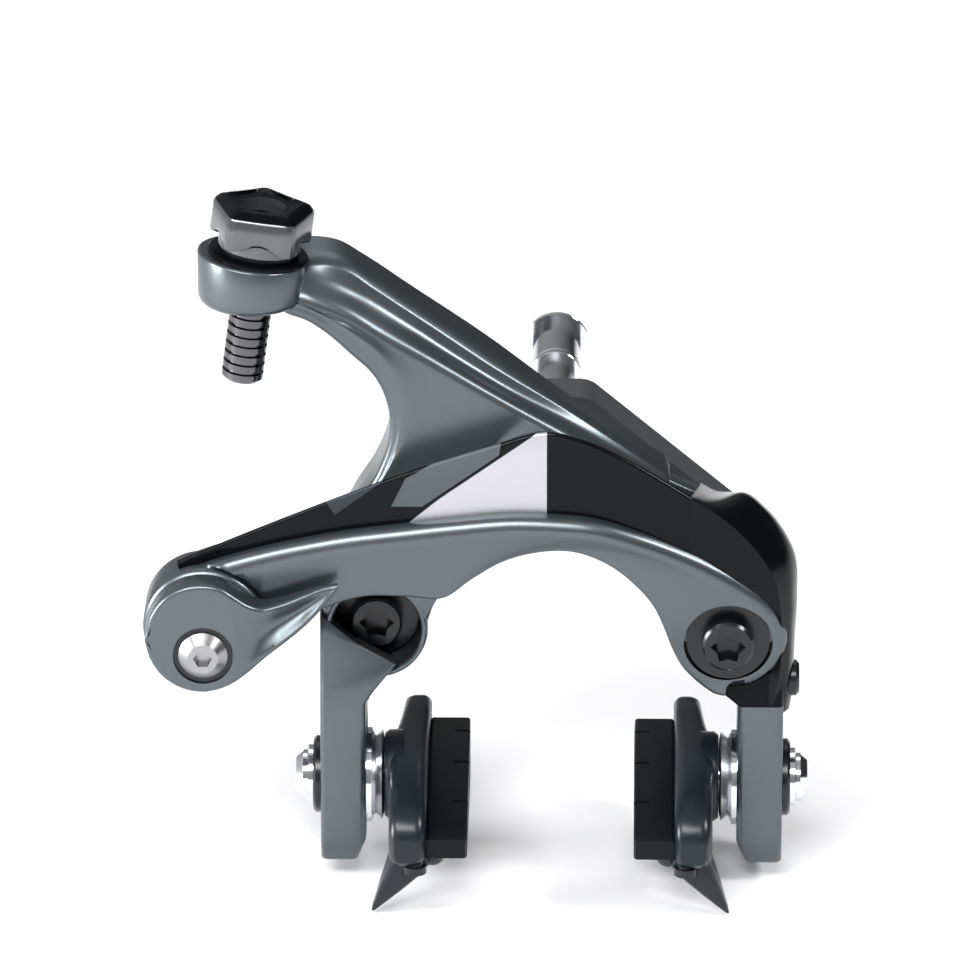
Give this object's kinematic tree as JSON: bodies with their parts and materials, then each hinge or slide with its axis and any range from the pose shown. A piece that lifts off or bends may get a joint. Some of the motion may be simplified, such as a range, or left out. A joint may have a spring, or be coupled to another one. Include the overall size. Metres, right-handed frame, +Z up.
{
  "type": "rim brake caliper",
  "caption": "Dual-pivot rim brake caliper with two linked arms, quick-release lever, cable adjuster and adjustable brake shoes.",
  "frame": {"origin": "axis of the mounting stud, on the face that meets the fork", "axes": "+X to the right seen from the front of the caliper, +Y back through the fork, +Z up"},
  "size_m": [0.1025, 0.0922, 0.111],
  "materials": {
    "dark_alloy": "satin anodised",
    "steel": "bright zinc",
    "black_steel": "black oxide",
    "chrome": "polished",
    "arm_alloy": "satin grey lacquer",
    "gloss_black": "gloss black lacquer",
    "knob_black": "gloss",
    "bush_plastic": "matt",
    "shoe_alloy": "satin black anodised",
    "pad_rubber": "moulded"
  },
  "bodies": {
    "bridge": {"bridge_plate": "dark_alloy", "center_stud": "steel", "fork_washer": "steel", "recessed_nut": "chrome", "return_spring": "steel", "pivot_bolt_left": "black_steel", "pivot_bush_left": "bush_plastic", "rear_washer_left": "steel", "front_washer_left": "steel", "pivot_bolt_right": "black_steel", "pivot_bush_right": "bush_plastic", "rear_washer_right": "steel", "front_washer_right": "steel"},
    "left_arm": {"left_arm": "arm_alloy", "adjuster_ring": "bush_plastic", "spring_seat": "bush_plastic"},
    "right_arm": {"right_arm": "arm_alloy", "roller_pin": "steel"},
    "adjuster_knob": {"adjuster_knob": "knob_black"},
    "adjuster_bolt": {"adjuster_bolt": "shoe_alloy"},
    "contact_roller": {"contact_roller": "steel"},
    "centring_screw": {"centring_screw": "black_steel"},
    "quick_release": {"quick_release_lever": "arm_alloy", "release_shaft": "steel", "release_washer": "black_steel", "release_screw": "chrome"},
    "cable_anchor": {"anchor_block": "steel", "anchor_plate": "steel", "anchor_bolt": "steel"},
    "left_shoe_carrier": {"shoe_bolt_left": "chrome", "convex_washer_left": "chrome", "concave_washer_left": "chrome", "outer_washer_left": "steel"},
    "left_shoe": {"shoe_holder_left": "shoe_alloy", "brake_pad_left": "pad_rubber", "pad_screw_left": "black_steel"},
    "right_shoe_carrier": {"shoe_bolt_right": "chrome", "convex_washer_right": "chrome", "concave_washer_right": "chrome", "outer_washer_right": "steel"},
    "right_shoe": {"shoe_holder_right": "shoe_alloy", "brake_pad_right": "pad_rubber", "pad_screw_right": "black_steel"}
  },
  "joints": [
    {"name": "right_arm_pivot", "type": "hinge", "parent": "bridge", "child": "right_arm", "pos_m": [0.0271, -0.03, -0.0196], "axis": [0, 1, 0], "range_deg": [-4, 8], "stiffness_Nm_per_rad": 4},
    {"name": "left_arm_pivot", "type": "hinge", "parent": "bridge", "child": "left_arm", "pos_m": [-0.0271, -0.025, -0.0196], "axis": [0, 1, 0], "range_deg": [-8, 4], "deforming": ["return_spring"]},
    {"name": "roller_spin", "type": "hinge", "parent": "right_arm", "child": "contact_roller", "pos_m": [0.0024, -0.023, 0.0036], "axis": [0, 1, 0], "continuous": true},
    {"name": "quick_release_turn", "type": "hinge", "parent": "right_arm", "child": "quick_release", "pos_m": [-0.0531, -0.04, -0.018], "axis": [0, 1, 0], "range_deg": [0, 85]},
    {"name": "cable_anchor_turn", "type": "hinge", "parent": "quick_release", "child": "cable_anchor", "pos_m": [-0.0553, -0.03, -0.018], "axis": [0, 1, 0], "range_deg": [-85, 0]},
    {"name": "adjuster_knob_turn", "type": "hinge", "parent": "left_arm", "child": "adjuster_knob", "pos_m": [-0.0459, -0.028, 0.033], "axis": [0.1305, 0, 0.9914], "range_deg": [-1100, 1100]},
    {"name": "adjuster_bolt_travel", "type": "slide", "parent": "left_arm", "child": "adjuster_bolt", "axis": [0.1305, 0, 0.9914], "range_m": [-0.0045, 0.0045]},
    {"name": "centring_screw_turn", "type": "hinge", "parent": "right_arm", "child": "centring_screw", "pos_m": [0.0362, -0.0295, -0.0282], "axis": [1, 0, 0], "range_deg": [-360, 360]},
    {"name": "left_shoe_height", "type": "slide", "parent": "left_arm", "child": "left_shoe_carrier", "axis": [0, 0, 1], "range_m": [-0.0049, 0.0071]},
    {"name": "left_shoe_toe_in", "type": "hinge", "parent": "left_shoe_carrier", "child": "left_shoe", "pos_m": [-0.026, -0.027, -0.0461], "axis": [1, 0, 0], "range_deg": [-8, 8]},
    {"name": "right_shoe_height", "type": "slide", "parent": "right_arm", "child": "right_shoe_carrier", "axis": [0, 0, 1], "range_m": [-0.0049, 0.0071]},
    {"name": "right_shoe_toe_in", "type": "hinge", "parent": "right_shoe_carrier", "child": "right_shoe", "pos_m": [0.026, -0.027, -0.0461], "axis": [1, 0, 0], "range_deg": [-8, 8]}
  ],
  "couplings": [
    {"joint": "left_arm_pivot", "follows": "right_arm_pivot", "ratio": -1},
    {"joint": "cable_anchor_turn", "follows": "quick_release_turn", "ratio": -1},
    {"joint": "adjuster_knob_turn", "follows": "adjuster_bolt_travel", "rad_per_m": 4188.8}
  ]
}
